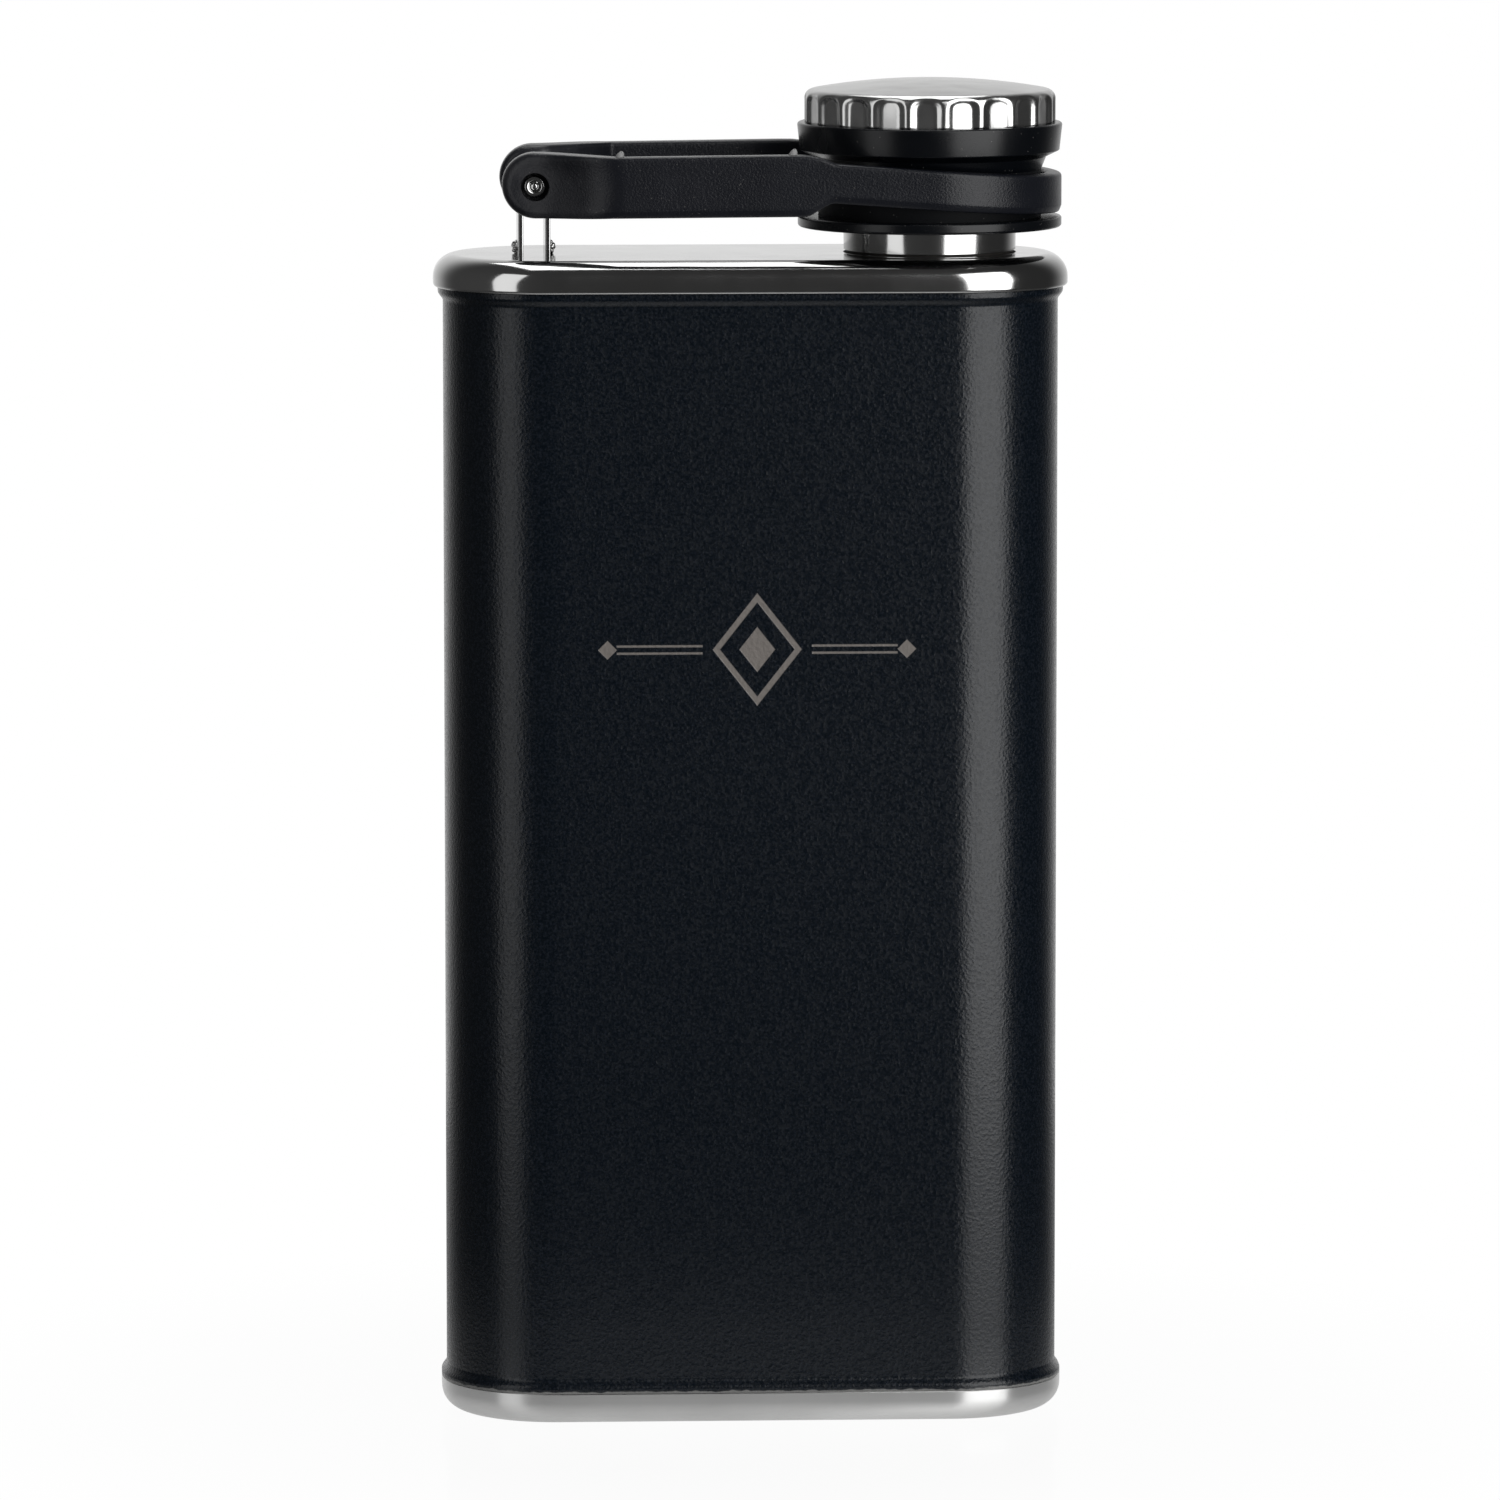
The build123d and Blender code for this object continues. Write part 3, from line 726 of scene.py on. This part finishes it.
# ---- Hinge pin ------------------------------------------------------------------------
# A turned stainless rivet through both heads and the knuckle. Its ends are closed with a
# punch that leaves a ring and a small point in the middle.
pin_end = np.array([(1.2, 8.1), (1.2, 8.42), (1.15, 8.51), (1.05, 8.55), (0.84, 8.55), (0.76, 8.51),
                    (0.68, 8.22), (0.60, 8.12), (0.50, 8.15), (0.40, 8.38), (0.28, 8.47),
                    (0.12, 8.5), (0, 8.5)]) * mm
pin = spindle(np.concatenate([pin_end[::-1] * (1, -1), pin_end]), "hinge_rivet",
              polished_steel("pin_steel", 0.02))
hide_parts("hinge_pin")
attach(pin, "arm")

# ---- Cap core -------------------------------------------------------------------------
# The cap's moulded black nylon inside: a threaded socket, a groove for the arm's ring under
# a cone, and a collar that the steel shell stands on. Groove and socket are left matt.
core_tone, core_bore = (0.0018, 0.0024, 0.0036), 10.4 * mm
groove_to = 13.3 * mm, 9.9 * mm


def core_shape(socket_steps=60):
    """The core's outline, in mm of radius and of level above the cover: round its outside from
    below, in over its roof, and down the socket. The socket's thread is the neck's, cut
    outwards from the bore."""
    outline = rounded(
        np.array([(10.6, 3.05), (11.8, 3.05), (11.8, 4.3), (13.1, 4.3), (13.1, 9.8),
                  (13.7, 11.3), (15.25, 12.05), (15.6, 15.3), (13.7, 15.3), (13.7, 19.0),
                  (0, 19.0), (0, 13.45), (10.4, 13.45), (10.4, 3.25)]) * mm,
        np.array([0, 0, 0, 0, 0.12, 0.12, 0.2, 0.3, 0, 0, 0, 0, 0, 0]) * mm, 7)
    socket = np.stack([np.full(socket_steps, core_bore),
                       np.linspace(12.9 * mm, 3.6 * mm, socket_steps)], axis=1)
    profile = np.concatenate([outline[:-1], socket, outline[-1:]])
    return threaded(profile, core_bore, depth=0.35 * mm, start=4.0 * mm, end=12.6 * mm)


cap_nylon = black_nylon("cap_nylon", core_tone, 0.26, 0.004, 0.36)
groove_nylon = black_nylon("groove_nylon", core_tone, 0.65, 0.02, 0.2)
cap_core = skin("cap_core_moulding", core_shape(), True, cap_nylon)
finish_some(cap_core, groove_nylon, groove_to)
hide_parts("cap_core")
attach(cap_core, "cap")

# ---- Cap flange -----------------------------------------------------------------------
# A black nylon disc pressed on the core from below. It closes the groove and keeps the arm's
# ring in it.
flange_line = rounded(np.array([(11.8, 3.05), (15.5, 3.05), (15.5, 4.3), (11.8, 4.3)]) * mm,
                      np.array([0.15, 0.35, 0.25, 0.1]) * mm, 12)
cap_flange = skin("cap_flange_disc", turned(flange_line, 160) + (0, 0, top_level), True, cap_nylon)
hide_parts("cap_flange")
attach(cap_flange, "cap")

# ---- Cap shell ------------------------------------------------------------------------
# A domed cup pressed from thin stainless sheet, mirror polished and glued over the core.
# Twenty-one arch-topped flutes are pressed into its side for grip.
shell_radius, shell_edge, edge_level, dome_level = 14.8 * mm, 1.2 * mm, 18 * mm, 20.4 * mm
flutes, flute_turn = 21, math.radians(-5.0)
flute_floor, flute_half, flute_top = 14.35 * mm, 1.6 * mm, 18.75 * mm
flute_corner, flute_slope = 1.3 * mm, 1.15 * mm


def shell_line():
    """The shell's outside from its lower rim up the wall, round the edge and over the dome to
    the axis. The dome falls with the square of the radius."""
    turn = np.radians(np.linspace(0, 80, 26))
    edge = np.stack([shell_radius - shell_edge * (1 - np.cos(turn)),
                     edge_level + shell_edge * np.sin(turn)], axis=1)
    radius = np.linspace(edge[-1, 0], 0, 20)[1:]
    dome = dome_level - (dome_level - edge[-1, 1]) * (radius / edge[-1, 0]) ** 2
    wall = np.stack([np.full(14, shell_radius), np.linspace(15.42 * mm, edge_level, 15)[:-1]],
                    axis=1)
    rim = np.array([(14.62, 15.3), (14.76, 15.34)]) * mm
    return np.concatenate([rim, wall, edge, np.stack([radius, dome], axis=1)])


def shell_shape(columns=34):
    """The outside turned about the cap's axis, drawn in towards the flutes' flat floors by a
    soft step of the distance from each flute's outline, a rectangle with rounded upper
    corners. Then the plain inside, back down to the rim. Each flute has its columns closer
    together at its sides."""
    pitch = 2 * math.pi / flutes
    half_pitch = 0.5 * pitch * shell_radius
    across = np.interp(np.linspace(0, 1, columns, endpoint=False), [0, 0.12, 0.36, 0.64, 0.88, 1],
                       [-half_pitch, -2.0 * mm, -1.2 * mm, 1.2 * mm, 2.0 * mm, half_pitch])
    local = np.tile(across / shell_radius, flutes)[None]
    turn = local + np.repeat(np.arange(flutes) * pitch, columns)[None] + flute_turn - math.pi / 2
    outside, inside = shell_line(), np.array([(0, 19.0), (13.7, 19.0), (13.7, 15.3)]) * mm
    radius, level = outside[:, :1], outside[:, 1:]
    beside = np.abs(local) * shell_radius - (flute_half - flute_corner)
    above = level - (flute_top - flute_corner)
    away = np.hypot(np.maximum(beside, 0), np.maximum(above, 0)) - flute_corner
    away = away + np.minimum(np.maximum(beside, above), 0)
    pressed = eased(0.5 - away / flute_slope)
    drawn = radius - np.maximum(radius - flute_floor / np.cos(local), 0) * pressed
    drawn = np.concatenate([drawn, inside[:, :1] + 0 * turn])
    level = np.concatenate([level, inside[:, 1:]]) + 0 * turn
    return np.dstack([cap_axis + drawn * np.cos(turn), drawn * np.sin(turn), top_level + level])


cap_steel = polished_steel("cap_steel", 0.25, 0.15)
cap_shell = skin("fluted_cap_shell", shell_shape(), True, cap_steel, sharp=60)
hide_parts("cap_shell")
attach(cap_shell, "cap")

# ---- Cap gasket -----------------------------------------------------------------------
# A disc of translucent white silicone, cut from sheet and pushed into the roof of the
# socket. It seals on the neck's lip.
gasket_line = np.array([(0, 12.45), (9.0, 12.45), (10.2, 12.45), (10.4, 12.6), (10.4, 13.3),
                        (10.2, 13.45), (0, 13.45)]) * mm


def silicone():
    """Milky silicone: light goes in a little way, and the skin is faintly mottled."""
    material, tree, shader, place = finish_of("silicone", Subsurface_Weight=0.25,
                                               Subsurface_Scale=0.001)
    mottle = noise(tree, place, 500, 3)
    tone = tint(tree, mottle, (0.70, 0.70, 0.67, 1), (0.80, 0.80, 0.78, 1))
    wire(tree, shader, Base_Color=tone, Roughness=ranged(tree, mottle, 0, 1, 0.35, 0.5),
         Normal=dented(tree, mottle, 0.02 * mm))
    return material


gasket = skin("silicone_gasket", turned(gasket_line, 120) + (0, 0, top_level), False, silicone())
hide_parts("cap_gasket")
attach(gasket, "seal")

# ---- Studio ---------------------------------------------------------------------------
# A white table in front of a white background. One large softbox stands to the right of the
# camera, a weaker one to its left, and one hangs above and behind. The room is dark in front.
studio = bpy.context.scene.collection
aim = Vector((0, 0, 0.11))


def softbox(name, azimuth, rise, distance, width, height, watts):
    """A rectangular lamp at an azimuth from the front and a rise from level, in degrees, that
    faces the flask."""
    lamp = bpy.data.lights.new(name, "AREA")
    lamp.shape = "RECTANGLE"
    lamp.size, lamp.size_y, lamp.energy = width, height, watts
    box = bpy.data.objects.new(name, lamp)
    a, e = math.radians(azimuth), math.radians(rise)
    towards = Vector((math.sin(a) * math.cos(e), -math.cos(a) * math.cos(e), math.sin(e)))
    box.location = aim + distance * towards
    box.rotation_euler = towards.to_track_quat("Z", "Y").to_euler()
    box.visible_camera = False
    studio.objects.link(box)


softbox("right_softbox", 39.5, 14, 0.95, 0.80, 1.30, 9.7)
softbox("left_softbox", -49.5, 14, 0.95, 0.42, 1.30, 1.8)
softbox("top_softbox", 180, 74, 0.85, 0.50, 0.80, 3.0)


def mirrored(tree, ray):
    """1 for a ray that a polished surface or a clear one sent on."""
    return maths(tree, "ADD", ray.outputs["Is Glossy Ray"], ray.outputs["Is Transmission Ray"])


# The room's light brightens towards the back wall, and a little towards the left. The camera
# sees all of it in white, and mirrors see its bright part so.
world = bpy.data.worlds.new("studio")
world.use_nodes = True
bpy.context.scene.world = world
room = world.node_tree
room.nodes.clear()
ray = put(room, "LightPath")
direction = put(room, "SeparateXYZ", {0: put(room, "TexCoord").outputs["Generated"]}).outputs
bright = maths(room, "POWER", ranged(room, direction["Y"], 0.2, 1.0), 4.0)
left = ranged(room, direction["X"], 0.35, -1.0, 0.03, 0.06)
level = maths(room, "MULTIPLY_ADD", bright, 0.72, left)
shown = maths(room, "MULTIPLY_ADD", mirrored(room, ray), bright, ray.outputs["Is Camera Ray"],
              use_clamp=True)
seen = put(room, "Mix", {0: shown, 2: level, 3: 1.0}, data_type="FLOAT").outputs[0]
back = put(room, "Background", {"Color": (1, 1, 1, 1), "Strength": seen}).outputs[0]
put(room, "OutputWorld", {"Surface": back})


def table_top():
    """White laminate. Its colour is painted pale near the flask and dark towards the rim, a painted
    pool of light falling into the dark of the room, and mirrors see it glow near the flask, a
    painted glow. The camera sees mostly its own white, wholly so towards the rim, and the
    flask's shadow near the middle."""
    material = bpy.data.materials.new("table_top")
    material.use_nodes = True
    tree = material.node_tree
    tree.nodes.clear()
    place = put(tree, "TexCoord").outputs["Object"]
    reach = put(tree, "VectorMath", {0: place}, operation="LENGTH").outputs["Value"]
    soft = {"interpolation_type": "SMOOTHSTEP"}
    own = ranged(tree, reach, 0.04, 0.12, 0.95, 1.0, **soft)
    # A painted glow that mirrors see near the flask, and a colour painted pale near it and dark
    # further out: a painted pool of light.
    painted_glow_for_mirrors = ranged(tree, reach, 0.03, 0.09, 0.52, 0.0, **soft)
    painted_light_pool_tone = ranged(tree, reach, 0.035, 0.14, 0.62, 0.08, **soft)
    ray = put(tree, "LightPath")
    reflected = maths(tree, "MULTIPLY", mirrored(tree, ray), painted_glow_for_mirrors)
    share = maths(tree, "MULTIPLY_ADD", ray.outputs["Is Camera Ray"], own, reflected)
    laminate = put(tree, "BsdfPrincipled", {"Base Color": painted_light_pool_tone, "Roughness": 0.12}).outputs[0]
    glow = put(tree, "Emission", {"Strength": 1.0}).outputs[0]
    both = put(tree, "MixShader", {0: share, 1: laminate, 2: glow}).outputs[0]
    put(tree, "OutputMaterial", {"Surface": both})
    material.cycles.emission_sampling = "NONE"
    return material


def table_shape(radius=0.24, gap=0.05 * mm, depth=8 * mm, columns=128):
    """A thin disc just under the flask: an oblong outline turned about the middle, which it
    misses by a tenth of a millimetre."""
    middle = 0.1 * mm
    outline = np.array([[middle, -gap], [radius, -gap], [radius, -depth], [middle, -depth]])
    return turned(outline, columns, centre=(0, 0))


table = skin("table", table_shape(), True, table_top())

# The camera stands a little left of the flask's front, looks down on it by 7 degrees and has
# a long lens.
camera = bpy.data.objects.new("camera", bpy.data.cameras.new("camera"))
studio.objects.link(camera)
camera.location = (-0.055, -1.235, 0.232)
camera.rotation_euler = (math.radians(90 - 7.09), math.radians(0.02), math.radians(-2.55))
camera.data.lens = 252.9
camera.data.sensor_width = 36.0
bpy.context.scene.camera = camera
bpy.context.scene.view_settings.view_transform = "Standard"
